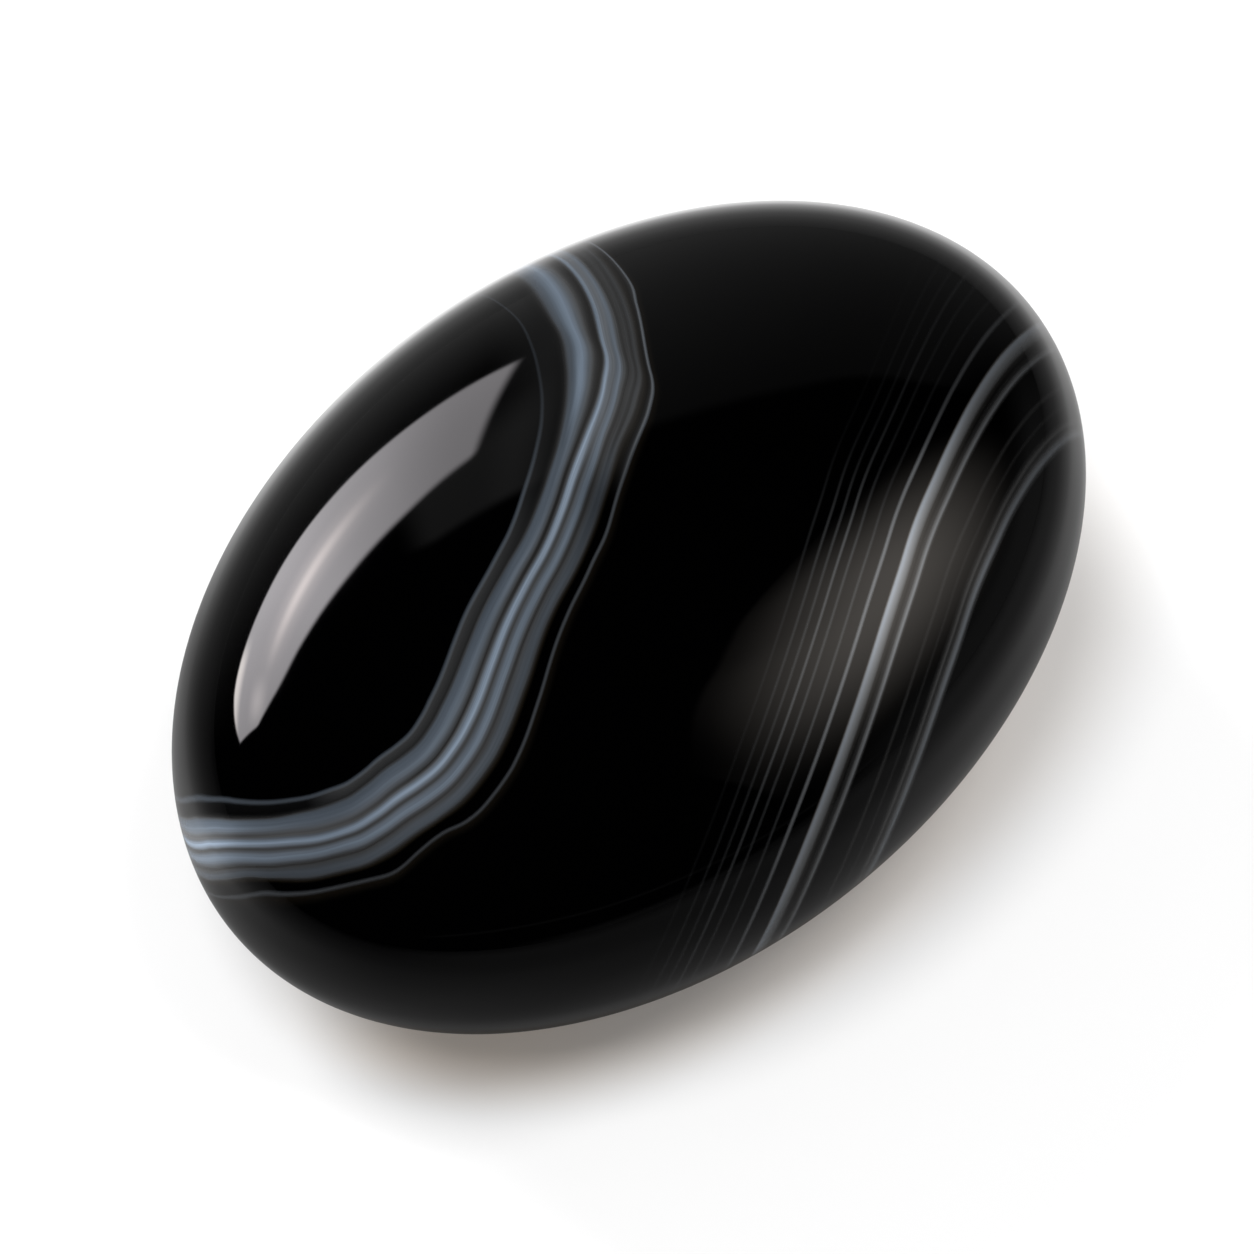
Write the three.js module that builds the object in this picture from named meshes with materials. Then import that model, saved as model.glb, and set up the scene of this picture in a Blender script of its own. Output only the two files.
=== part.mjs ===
// A polished oval pebble of banded black onyx, lying on its small flat underside.
// Sizes are millimetres and +Z is up. +X runs along the pebble, towards its thinner end.
// The origin is the middle of the pebble's plan, on the surface that it rests on.

import * as THREE from 'three';
import { mergeVertices } from 'three/addons/utils/BufferGeometryUtils.js';

// Driving dimensions of the pebble
const LENGTH = 50;
const WIDTH = 34.2;
const THICKNESS = 19.6; // through the middle, before the underside is flattened
const SHOULDER_SWELL = 0.03; // share by which the shoulders stand out past a plain ellipsoid
const END_TAPER = 0.1; // share of the thickness that the +X end lacks and the -X end has on top
const UNDERSIDE_LOSS = 0.45; // how much of the belly the flat underside takes away
const UNDERSIDE_EASING = 0.2; // the round sides run into the flat over this height, up and down

// The net of the rounded surface: each edge of the starting icosahedron has this many cuts
const EDGE_CUTS = 17;

// The look of the polished surface, in plain shading
const STONE_COLOUR = 0x0a0a0c;
const STONE_ROUGHNESS = 0.05;
const STONE_METALNESS = 0;

const { clamp, lerp } = THREE.MathUtils;

// A closed ball of even triangles, with each corner shared by the faces that meet there
function unitBall() {
  const ball = new THREE.IcosahedronGeometry(1, EDGE_CUTS);
  ball.deleteAttribute('normal');
  ball.deleteAttribute('uv');
  return mergeVertices(ball);
}

// Moves every corner of a geometry by a function that changes the point it is given
function reshape(geometry, movePoint) {
  const corners = geometry.getAttribute('position');
  const corner = new THREE.Vector3();
  for (let i = 0; i < corners.count; i += 1) {
    movePoint(corner.fromBufferAttribute(corners, i));
    corners.setXYZ(i, corner.x, corner.y, corner.z);
  }
  geometry.computeBoundingBox();
}

// Takes a point of the unit ball to the full-bellied pebble, whose middle plane is z = 0.
// The shoulders are fullest halfway between the rim of the plan and the crown or the belly.
function swellAndTaper(point) {
  const latitude = Math.asin(clamp(point.z, -1, 1));
  point.multiplyScalar(1 + SHOULDER_SWELL * Math.sin(2 * latitude) ** 2);
  const thinning = 1 - END_TAPER * point.x;
  point.set((LENGTH / 2) * point.x, (WIDTH / 2) * point.y, (THICKNESS / 2) * point.z * thinning);
}

// The depth under the middle plane, held at flatDepth by a curve with no edge in it
function easedDepth(depth, flatDepth) {
  const share = clamp(0.5 + (flatDepth - depth) / (2 * UNDERSIDE_EASING), 0, 1);
  return lerp(flatDepth, depth, share) - UNDERSIDE_EASING * share * (1 - share);
}

function pebbleGeometry() {
  const geometry = unitBall();
  reshape(geometry, swellAndTaper);
  const flatDepth = -geometry.boundingBox.min.z - UNDERSIDE_LOSS;
  reshape(geometry, (point) => {
    point.z = flatDepth - easedDepth(-point.z, flatDepth);
  });
  geometry.computeVertexNormals();
  return geometry;
}

function stoneMaterial() {
  return new THREE.MeshStandardMaterial({
    color: STONE_COLOUR,
    roughness: STONE_ROUGHNESS,
    metalness: STONE_METALNESS,
  });
}

function onyxStone() {
  const stone = new THREE.Mesh(pebbleGeometry(), stoneMaterial());
  stone.name = 'onyx_stone';
  return stone;
}

const pebble = new THREE.Group();
pebble.add(onyxStone());

export default pebble;
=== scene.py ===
"""Polished banded onyx pebble resting on a pale table in soft studio light.

The stone is one piece: a flattened, slightly tapered egg with a small flat underside. Its black body
carries two families of pale blue-grey layers, which are sheets through the stone and so run round it.
"""

import logging
import math
from dataclasses import dataclass, field
from enum import Enum, IntEnum
from typing import Callable, Sequence, Union

import bmesh
import bpy
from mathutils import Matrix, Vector


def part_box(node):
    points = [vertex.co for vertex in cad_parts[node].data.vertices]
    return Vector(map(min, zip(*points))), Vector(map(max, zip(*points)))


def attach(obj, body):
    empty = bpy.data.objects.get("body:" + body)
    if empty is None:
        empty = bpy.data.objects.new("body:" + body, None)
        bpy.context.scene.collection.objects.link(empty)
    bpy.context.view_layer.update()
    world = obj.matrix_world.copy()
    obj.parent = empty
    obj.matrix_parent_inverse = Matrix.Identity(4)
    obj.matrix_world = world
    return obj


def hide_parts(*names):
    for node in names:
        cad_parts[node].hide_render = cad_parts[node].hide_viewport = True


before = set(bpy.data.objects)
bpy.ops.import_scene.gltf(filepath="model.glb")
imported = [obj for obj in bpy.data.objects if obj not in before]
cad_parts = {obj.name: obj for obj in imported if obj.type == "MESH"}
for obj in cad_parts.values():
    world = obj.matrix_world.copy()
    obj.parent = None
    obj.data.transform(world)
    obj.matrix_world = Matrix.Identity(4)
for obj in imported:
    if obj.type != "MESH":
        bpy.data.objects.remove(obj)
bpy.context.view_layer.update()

LOG = logging.getLogger("onyx")

MM = 0.001
TO_DEGREES = 180.0 / math.pi
NODE = "onyx_stone"
BODY = "root"
CAMERA_AZIMUTH = -50.555

Colour = tuple[float, float, float]
Range = tuple[float, float]
Point = tuple[float, float]
Line = tuple[Point, ...]
# A stop of a ramp: its place, its level and, unless it is neutral, its blue share, as grey takes them.
Stop = tuple[float, ...]
# A side of a panel: the bearing gained per degree of height, and the bearings where it starts and is full.
Side = tuple[float, float, float]
Socket = bpy.types.NodeSocket
Value = Union[float, Socket]


class Fade(Enum):
    """How a step goes from 0 to 1."""

    SOFT = "SMOOTHSTEP"
    STRAIGHT = "LINEAR"


class Layer(IntEnum):
    """The lines of the broad band, counted upwards, with a thin thread outside it on either side."""

    LOW_THREAD = 0
    LOW_EDGE = 1
    LOW_GAP = 2
    LOW_RIBBON = 3
    CENTRE = 4
    HIGH_GAP = 5
    HIGH_EDGE = 6
    HIGH_THREAD = 7


def deselect_all() -> None:
    """Leaves no object selected and none in edit mode."""
    if bpy.context.object and bpy.context.object.mode != "OBJECT":
        bpy.ops.object.mode_set(mode="OBJECT")
    bpy.ops.object.select_all(action="DESELECT")


def make_active(piece: bpy.types.Object) -> None:
    """Selects one object alone and makes it the active one.

    Args:
        piece: the object to select.
    """
    deselect_all()
    piece.select_set(True)
    bpy.context.view_layer.objects.active = piece


def select_vertices(piece: bpy.types.Object, test: Callable[[Vector], bool]) -> None:
    """Selects the vertices whose place passes a test, and no others.

    Args:
        piece: the object in edit mode.
        test: tells from a vertex's place whether it is selected.
    """
    bpy.ops.mesh.select_mode(type="VERT")
    mesh = bmesh.from_edit_mesh(piece.data)
    for vertex in mesh.verts:
        vertex.select_set(test(vertex.co))
    mesh.select_flush_mode()
    bmesh.update_edit_mesh(piece.data, loop_triangles=False, destructive=False)


def view_frame(elevation: float) -> tuple[Vector, Vector, Vector]:
    """Gives the directions of a camera that looks at the stone from the camera's side.

    Args:
        elevation: its height above the table, in degrees.

    Returns:
        The unit vectors to the right, upwards in the picture, and back towards the camera.
    """
    turn, rise = math.radians(CAMERA_AZIMUTH), math.radians(elevation)
    back = Vector((math.sin(turn) * math.cos(rise), -math.cos(turn) * math.cos(rise), math.sin(rise)))
    right = Vector((math.cos(turn), math.sin(turn), 0.0))
    return right, back.cross(right), back


def toward(bearing: float, elevation: float) -> Vector:
    """Gives a direction from the stone.

    Args:
        bearing: its turn in degrees, where 0 is right in the picture and 90 away from the camera.
        elevation: its height above the table, in degrees.

    Returns:
        The unit vector.
    """
    right, _, back = view_frame(0.0)
    turn, rise = math.radians(bearing), math.radians(elevation)
    level = right * math.cos(turn) - back * math.sin(turn)
    return level * math.cos(rise) + Vector((0.0, 0.0, math.sin(rise)))


def grey(level: float, blue: float = 0.0) -> Colour:
    """Gives a stone colour.

    Args:
        level: the green part.
        blue: how far blue stands over green and red under it, as a share; negative is brown.

    Returns:
        The colour in linear light.
    """
    return (level * (1.0 - 0.75 * blue), level, level * (1.0 + blue))


@dataclass
class NodeMaker:
    """Adds shader nodes to one node tree and joins them.

    Attributes:
        tree: the node tree that gets the nodes.
    """

    tree: bpy.types.NodeTree

    LONGEST_CURVE = 90.0
    COLUMNS = 14
    STEP_X = 190.0
    STEP_Y = 240.0

    def add(self, kind: str, **settings: object) -> bpy.types.Node:
        """Adds one node.

        Args:
            kind: the node's type name.
            settings: attributes to set on it.

        Returns:
            The new node, laid out in rows after the earlier ones.
        """
        count = len(self.tree.nodes)
        node = self.tree.nodes.new(kind)
        node.location = (count % self.COLUMNS * self.STEP_X, -(count // self.COLUMNS) * self.STEP_Y)
        for name, value in settings.items():
            setattr(node, name, value)
        return node

    def join(self, value: Union[Value, Sequence[float]], socket: Socket) -> None:
        """Feeds a socket with another node's output or a fixed value.

        Args:
            value: an output socket, a number or a vector.
            socket: the input socket.
        """
        if isinstance(value, bpy.types.NodeSocket):
            self.tree.links.new(value, socket)
        else:
            socket.default_value = value

    def math(self, operation: str, *values: Value, clamp: bool = False) -> Socket:
        """Adds a Math node.

        Args:
            operation: the Math node's operation.
            values: its inputs in order.
            clamp: whether the result is held between 0 and 1.

        Returns:
            The result's socket.
        """
        node = self.add("ShaderNodeMath", operation=operation, use_clamp=clamp)
        for value, socket in zip(values, node.inputs):
            self.join(value, socket)
        return node.outputs[0]

    def difference(self, first: Value, second: Value) -> Socket:
        """Subtracts the second value from the first and returns the result's socket."""
        return self.math("SUBTRACT", first, second)

    def multiply_add(self, value: Value, factor: Value, extra: Value) -> Socket:
        """Multiplies a value, adds an extra to it and returns the result's socket."""
        return self.math("MULTIPLY_ADD", value, factor, extra)

    def product(self, *values: Value) -> Socket:
        """Multiplies values together.

        Args:
            values: two or more values.

        Returns:
            The product's socket.
        """
        result = values[0]
        for value in values[1:]:
            result = self.math("MULTIPLY", result, value)
        return result

    def step(self, value: Value, start: Value, end: Value, fade: Fade) -> Socket:
        """Adds a step from 0 to 1.

        Args:
            value: what is tested.
            start: where the step is 0.
            end: where the step is 1; it may be lower than start.
            fade: how the step goes between them.

        Returns:
            The step's socket.
        """
        node = self.add("ShaderNodeMapRange", interpolation_type=fade.value)
        self.join(value, node.inputs["Value"])
        self.join(start, node.inputs["From Min"])
        self.join(end, node.inputs["From Max"])
        return node.outputs["Result"]

    def smooth(self, value: Value, start: Value, end: Value) -> Socket:
        """Adds a soft step from 0 at start to 1 at end and returns its socket."""
        return self.step(value, start, end, Fade.SOFT)

    def fraction(self, value: Value, start: Value, end: Value) -> Socket:
        """Tells how far a value has come from start to end, as a socket from 0 to 1."""
        return self.step(value, start, end, Fade.STRAIGHT)

    def pick(self, test: Socket, first: Value, second: Value) -> Socket:
        """Gives the first value where the test is 0 and the second where it is 1."""
        return self.multiply_add(test, self.difference(second, first), first)

    def bump(self, value: Value, centre: float, reach: float) -> Socket:
        """Adds a soft hump that is 1 at its centre and 0 past its reach, and returns its socket."""
        return self.smooth(self.math("ABSOLUTE", self.difference(value, centre)), reach, 0.0)

    def line(self, distance: Value, half_width: float) -> Socket:
        """Draws a thin soft line.

        Args:
            distance: the signed distance from the line.
            half_width: how far from the line it has faded out.

        Returns:
            The line's mask.
        """
        return self.smooth(self.math("ABSOLUTE", distance), half_width, 0.0)

    def blend(self, factor: Value, first: Value, second: Value) -> Socket:
        """Mixes two colours.

        Args:
            factor: the second colour's share.
            first: the first colour, as a socket or four numbers.
            second: the second colour.

        Returns:
            The mixed colour's socket.
        """
        node = self.add("ShaderNodeMix", data_type="RGBA")
        inputs = [socket for socket in node.inputs if socket.type == "RGBA"]
        self.join(factor, node.inputs["Factor"])
        self.join(first, inputs[0])
        self.join(second, inputs[1])
        return next(socket for socket in node.outputs if socket.type == "RGBA")

    def tint(self, colour: Union[Socket, Colour], strength: Value) -> Socket:
        """Scales a colour.

        Args:
            colour: the colour.
            strength: what it is multiplied by.

        Returns:
            The scaled colour's socket.
        """
        node = self.add("ShaderNodeVectorMath", operation="SCALE")
        self.join(colour, node.inputs[0])
        self.join(strength, node.inputs["Scale"])
        return node.outputs["Vector"]

    def total(self, *colours: Union[Socket, Colour]) -> Socket:
        """Adds colours together.

        Args:
            colours: two or more colours.

        Returns:
            The sum's socket.
        """
        result = colours[0]
        for colour in colours[1:]:
            node = self.add("ShaderNodeVectorMath", operation="ADD")
            self.join(result, node.inputs[0])
            self.join(colour, node.inputs[1])
            result = node.outputs["Vector"]
        return result

    def curve(self, value: Value, points: Line) -> Socket:
        """Adds a smooth curve through points.

        Args:
            value: the place along the curve.
            points: the curve's points as (place, height), in rising order of place.

        Returns:
            The height's socket; past either end it keeps the end point's height.
        """
        node = self.add("ShaderNodeFloatCurve")
        mapping = node.mapping
        start = points[0][0]
        scale = min(1.0, self.LONGEST_CURVE / (points[-1][0] - start))
        places = [(place - start) * scale for place, _ in points]
        heights = [height for _, height in points]
        mapping.clip_min_x, mapping.clip_max_x = 0.0, places[-1]
        mapping.clip_min_y, mapping.clip_max_y = min(heights) - 1.0, max(heights) + 1.0
        line = mapping.curves[0]
        while len(line.points) > 2:
            line.points.remove(line.points[1])
        line.points[0].location = (places[0], heights[0])
        line.points[1].location = (places[-1], heights[-1])
        for place, height in zip(places[1:-1], heights[1:-1]):
            line.points.new(place, height)
        for point in line.points:
            point.handle_type = "AUTO_CLAMPED"
        mapping.extend = "HORIZONTAL"
        mapping.update()
        self.join(self.product(self.difference(value, start), scale), node.inputs["Value"])
        return node.outputs["Value"]

    def ramp(self, value: Value, low: float, high: float, stops: Sequence[Stop]) -> Socket:
        """Adds a ramp of stone colours over a range of places.

        Args:
            value: the place.
            low: the place at the ramp's start.
            high: the place at the ramp's end.
            stops: the stops in rising order of place, with places from low to high.

        Returns:
            The colour's socket.
        """
        scaled = self.math("DIVIDE", self.difference(value, low), high - low, clamp=True)
        node = self.add("ShaderNodeValToRGB")
        elements = node.color_ramp.elements
        places = [(stop[0] - low) / (high - low) for stop in stops]
        colours = [(*grey(*stop[1:]), 1.0) for stop in stops]
        elements[0].position, elements[1].position = places[0], places[-1]
        elements[0].color, elements[1].color = colours[0], colours[-1]
        for place, colour in zip(places[1:-1], colours[1:-1]):
            elements.new(place).color = colour
        self.join(scaled, node.inputs["Fac"])
        return node.outputs["Color"]

    def parts(self, place: Socket) -> Sequence[Socket]:
        """Splits a place into its three parts.

        Args:
            place: the place.

        Returns:
            The sockets of its X, Y and Z.
        """
        node = self.add("ShaderNodeSeparateXYZ")
        self.join(place, node.inputs["Vector"])
        return tuple(node.outputs)

    def sides(self, bearing: Socket, height: Socket, sides: Sequence[Side]) -> Socket:
        """Masks a panel at its sides.

        Args:
            bearing: the bearing that is looked at.
            height: its height above the table.
            sides: the panel's sides.

        Returns:
            The mask, which is 1 where every side is full.
        """
        return self.product(
            *(self.smooth(self.multiply_add(height, lean, bearing), *edge) for lean, *edge in sides)
        )

    def show(self, shader: Socket, kind: str = "ShaderNodeOutputMaterial") -> None:
        """Joins the finished shader to a new output node."""
        self.join(shader, self.add(kind).inputs["Surface"])

    def bearing(self, place: Socket) -> tuple[Socket, Socket]:
        """Finds a place's bearing from the stone, in degrees.

        Args:
            place: the place or direction.

        Returns:
            The bearing, from -180 to 180, and the upright part of the place.
        """
        turned = self.add("ShaderNodeVectorRotate", rotation_type="Z_AXIS")
        turned.inputs["Angle"].default_value = -math.radians(CAMERA_AZIMUTH)
        self.join(place, turned.inputs["Vector"])
        x, y, z = self.parts(turned.outputs["Vector"])
        return self.product(self.math("ARCTAN2", y, x), TO_DEGREES), z


def new_material(name: str) -> tuple[bpy.types.Material, NodeMaker]:
    """Adds a material with an empty node tree.

    Args:
        name: the material's name.

    Returns:
        The material and the maker of its nodes.
    """
    material = bpy.data.materials.new(name)
    material.use_nodes = True
    material.node_tree.nodes.clear()
    return material, NodeMaker(material.node_tree)


@dataclass
class OnyxPebble:
    """The stone's body, in metres.

    Attributes:
        thickness: full height before the underside is flattened.
        shoulder_swell: how far the surface stands outside a plain ellipsoid, as a share, at its fullest.
        end_taper: the loss of thickness at the thin end, as a share; the other end gains as much.
        foot_depth: how much of the underside is worn away.
        inset: how far the surface stays inside its full size, so that it never leaves the CAD's box.
        middle: height of the middle plane above the table, known once the underside is flat.
    """

    length: float = 50.0 * MM
    width: float = 34.2 * MM
    thickness: float = 19.6 * MM
    shoulder_swell: float = 0.03
    end_taper: float = 0.1
    foot_depth: float = 0.45 * MM
    inset: float = 0.002 * MM
    rings: int = 128
    segments: int = 288
    middle: float = field(init=False, default=0.0)

    SMOOTH_LIMIT = 30.0
    # How far a vertex may be from its ring's height, as a share of a ring's step, and from the unit ball.
    RING_SLACK = 0.2
    BALL_SLACK = 1e-5

    def build(self) -> bpy.types.Object:
        """Models the stone.

        Returns:
            The stone's object, which sits at the origin.
        """
        deselect_all()
        bpy.ops.mesh.primitive_uv_sphere_add(segments=self.segments, ring_count=self.rings, radius=1.0)
        stone = bpy.context.object
        stone.name = stone.data.name = "polished_onyx"
        self._swell_shoulders(stone)
        self._thin_one_end(stone)
        self._flatten_underside(stone)
        make_active(stone)
        bpy.ops.object.shade_smooth_by_angle(angle=math.radians(self.SMOOTH_LIMIT))
        return stone

    def _swell_shoulders(self, stone: bpy.types.Object) -> None:
        """Fills the ball out between its rim and its poles, then draws it out to the stone's size.

        Args:
            stone: the object that holds the unit ball.
        """
        make_active(stone)
        bpy.ops.object.mode_set(mode="EDIT")
        for ring in range(1, self.rings // 2):
            latitude = math.pi / 2 - math.pi * ring / self.rings
            height = math.sin(latitude)
            slack = self.RING_SLACK / self.rings * math.cos(latitude)
            select_vertices(
                stone,
                lambda place: (
                    abs(abs(place.z) - height) < slack and abs(place.length - 1.0) < self.BALL_SLACK
                ),
            )
            swell = 1.0 + self.shoulder_swell * math.sin(2.0 * latitude) ** 2
            bpy.ops.transform.resize(value=(swell, swell, swell), center_override=(0.0, 0.0, 0.0))
        bpy.ops.mesh.select_all(action="SELECT")
        half = [size / 2 - self.inset for size in (self.length, self.width, self.thickness)]
        bpy.ops.transform.resize(value=half, center_override=(0.0, 0.0, 0.0))
        bpy.ops.object.mode_set(mode="OBJECT")

    def _thin_one_end(self, stone: bpy.types.Object) -> None:
        """Tapers the thickness along the long axis.

        Args:
            stone: the stone's object.
        """
        taper = stone.modifiers.new("End taper", "SIMPLE_DEFORM")
        taper.deform_method = "TAPER"
        taper.deform_axis = "X"
        taper.factor = -2.0 * self.end_taper
        taper.lock_y = True
        make_active(stone)
        bpy.ops.object.modifier_apply(modifier=taper.name)

    def _flatten_underside(self, stone: bpy.types.Object) -> None:
        """Cuts the flat foot and sets it on the table.

        Args:
            stone: the stone's object.
        """
        foot = min(vertex.co.z for vertex in stone.data.vertices) + self.foot_depth
        make_active(stone)
        bpy.ops.object.mode_set(mode="EDIT")
        select_vertices(stone, lambda place: place.z < foot)
        bpy.ops.transform.resize(value=(1.0, 1.0, 0.0), center_override=(0.0, 0.0, foot))
        bpy.ops.mesh.select_all(action="SELECT")
        bpy.ops.transform.translate(value=(0.0, 0.0, -foot))
        bpy.ops.object.mode_set(mode="OBJECT")
        self.middle = -foot


@dataclass(frozen=True)
class LeftBand:
    """The broad banded layer that crosses the stone's thick end, in mm.

    Its lines run beside one centre line. Each is given by how far it lies above that line, across the
    layers, against the place along the stone. At the thick end they turn about a point.

    Attributes:
        pivot: that point, along the stone and across the layers.
        turn_radius: the radius at which a step round the turn is as long as one along the stone.
        rim_dip: how far the layers dip at the thick end, against the height above the table.
        dip_range: where along the stone that dip sets in.
        centre: the brightest line, across the layers; the lines after it are named as in Layer.
    """

    pivot: Point = (-15.0, 9.0)
    turn_radius: float = 9.0
    rim_dip: Line = ((3, 2.6), (5, 2.5), (7, 2.1), (8, 1.7), (9, 1.17), (10, 0.52), (11, 0.13), (12, 0))
    dip_range: Range = (-18.0, -21.0)
    centre: Line = (
        (-30, 0.25), (-28, 0.1), (-27, 0), (-26.2, -0.14), (-25.5, -0.3), (-24.9, -0.52), (-23.75, -0.87),
        (-22.6, -1.13), (-21.6, -1.34), (-20.6, -1.38), (-19.6, -1.19), (-18.7, -0.93), (-17.8, -0.83),
        (-16.9, -0.72), (-16, -0.48), (-15, -0.19), (-14, 0.14), (-12, 0.97), (-10, 1.79), (-8, 2.44),
        (-6, 3), (-4, 3.76), (-2, 4.64), (0, 5.44), (2.1, 6.3), (3.2, 6.9), (4.3, 7.6), (5.2, 8.5),
        (7.2, 10.45), (9.3, 13.1), (11.4, 16.2), (13, 18.5),
    )
    low_thread: Line = (
        (-28, -2.45), (-26.2, -2.38), (-25, -2.05), (-24.5, -1.84), (-24, -1.7), (-23.4, -1.7),
        (-22.5, -1.92), (-21, -2.11), (-20.4, -2.24), (-19.4, -2.6), (-18.7, -2.5), (-18, -2.41),
        (-17.2, -2.62), (-16.4, -2.7), (-12, -2.62), (-8, -2.29), (-5.5, -2.21), (-3.7, -2.32),
        (-1, -2.22), (1, -2.18), (4, -2.4), (6, -2.4), (8, -2.68), (9.3, -3.1), (11, -3.1),
    )
    low_edge: Line = (
        (-28, -1.7), (-26.2, -1.64), (-25, -1.26), (-24.5, -1.12), (-24, -1.12), (-23, -1.31),
        (-22, -1.5), (-21, -1.58), (-20, -1.74), (-19, -1.82), (-12, -1.84), (-8, -1.65), (-2.5, -1.72),
        (0.5, -1.56), (3, -1.76), (5, -1.94), (7, -2.05), (9, -2.32), (12, -2.6),
    )
    low_gap: Line = (
        (-28, -1.1), (-26, -1), (-25, -0.78), (-24.3, -0.76), (-23.5, -0.84), (-22.8, -0.92),
        (-21.5, -0.92), (-20, -1.07), (-17, -1.12), (-12, -1.04), (-6, -0.94), (-2.5, -0.98), (1, -0.85),
        (3, -0.91), (5, -1.08), (8, -1.08), (12, -1.3),
    )
    low_ribbon: Line = (
        (-28, -0.58), (-26.2, -0.56), (-25, -0.41), (-24, -0.48), (-23, -0.58), (-21, -0.56),
        (-20, -0.65), (-16.5, -0.73), (-8, -0.64), (-2, -0.71), (1, -0.58), (5, -0.67), (8, -0.75),
        (12, -0.95),
    )
    high_gap: Line = (
        (-28, 0.36), (-26.6, 0.33), (-25.4, 0.22), (-24, 0.26), (-22, 0.34), (-18, 0.36), (-12, 0.42),
        (-7, 0.36), (1, 0.4), (4, 0.36), (7, 0.41), (12, 0.6),
    )
    high_edge: Line = (
        (-28, 1.02), (-26.6, 0.93), (-25.5, 0.78), (-24, 0.92), (-23, 1.04), (-22, 1.24), (-21, 1.37),
        (-17.5, 1.47), (-12, 1.4), (-8, 1.24), (-2.5, 1.18), (0, 1.4), (2, 1.83), (4, 2.35), (6, 3),
        (8, 3.6), (10, 4.3),
    )
    high_thread: Line = (
        (-28, 1.62), (-27, 1.5), (-26, 1.4), (-24.5, 1.51), (-22.5, 1.72), (-21, 1.95), (-12, 2),
        (-8, 1.8), (-4, 1.98), (-2, 2.07), (0, 2.47), (2, 3.34), (4, 4.38), (5, 5.1), (6, 6), (8, 8.2),
    )

    def line(self, layer: Layer) -> Line:
        """Gives one of the lines beside the centre line."""
        return getattr(self, layer.name.lower())


@dataclass(frozen=True)
class RightBand:
    """The family of fine parallel layers that crosses the stone's thin end, in mm.

    Attributes:
        edge: the crisp upper edge of its brightest line, across the layers against the place along it.
        spread: how far apart the lines are, against the spacing at the middle.
        heavy_range: where the ramp of the brightest lines starts and ends, above the edge.
        lower_range: the same for the pale lines below them.
        fine_range: the same for the fine lines above them.
        first_line: the place of the first line above the edge.
    """

    edge: Line = (
        (-20, -19.3), (-18, -18.4), (-16, -17.52), (-14, -16.72), (-12.3, -16.02), (-10.53, -15.27),
        (-8.03, -14.18), (-5.07, -12.91), (-2.6, -11.82), (-0.14, -10.71), (2.23, -9.63), (4.3, -8.73),
        (6.76, -7.67), (9.61, -6.71), (12.56, -5.82), (14.62, -5.29), (17.54, -4.73), (19.46, -4.52),
        (21.28, -4.42), (24.28, -4.28),
    )
    spread: Line = ((-14, 1), (10, 1), (13, 1.03), (17, 1.13), (20, 1.25), (24, 1.42))
    heavy_range: Range = (-1.5, 0.2)
    lower_range: Range = (-4.6, -1.9)
    fine_range: Range = (1.2, 5.2)
    first_line: float = 0.89
    first_half_width: float = 0.145
    first_level: Colour = grey(0.11, 0.06)


@dataclass(frozen=True)
class StonePlace:
    """Where a shaded point lies in the stone, in mm.

    Attributes:
        along: the place along the long axis.
        across: the place across the leaning layers.
        height: the height above the table.
        whole: the place as a vector that leans with the layers.
    """

    along: Socket
    across: Socket
    height: Socket
    whole: Socket


@dataclass(frozen=True)
class BandPlace:
    """Where a shaded point lies in the broad band.

    Attributes:
        bent: the place along the band, in mm.
        layer: the place across it, counted as Layer does.
        to_low: how far it lies above the low thread, in mm.
        to_high: how far it lies above the high thread, in mm.
    """

    bent: Socket
    layer: Socket
    to_low: Socket
    to_high: Socket


LOW_AT_END: tuple[Stop, ...] = (
    (0, 0), (0.7, 0), (0.82, 0.002, -0.4), (0.93, 0.0055, -0.2), (1.03, 0.012), (1.15, 0.029, 0.12),
    (1.3, 0.0375, 0.2), (1.6, 0.0385, 0.17), (1.8, 0.031, 0.08), (1.9, 0.0237, 0.03), (2, 0.0165),
    (2.15, 0.021, 0.03), (2.3, 0.0322, 0.08), (2.45, 0.0455, 0.14), (2.6, 0.063, 0.2), (2.8, 0.082, 0.24),
    (3, 0.092, 0.25), (3.17, 0.076, 0.24), (3.32, 0.054, 0.18), (3.45, 0.0375, 0.1), (3.57, 0.025, 0.02),
    (3.68, 0.037, 0.1), (3.8, 0.079, 0.2), (3.92, 0.133, 0.25), (4, 0.146, 0.27),
)
HIGH_AT_END: tuple[Stop, ...] = (
    (4, 0.146, 0.27), (4.08, 0.144, 0.27), (4.22, 0.126, 0.27), (4.42, 0.091, 0.22), (4.62, 0.056, 0.14),
    (4.8, 0.028, 0.04), (4.92, 0.017), (5.02, 0.0135), (5.15, 0.034, 0.1), (5.3, 0.061, 0.2),
    (5.45, 0.07, 0.24), (5.6, 0.051, 0.25), (5.75, 0.045, 0.25), (5.86, 0.041, 0.22), (5.96, 0.021, 0.06),
    (6.06, 0.007), (6.18, 0.0015), (6.3, 0), (7, 0),
)
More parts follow.
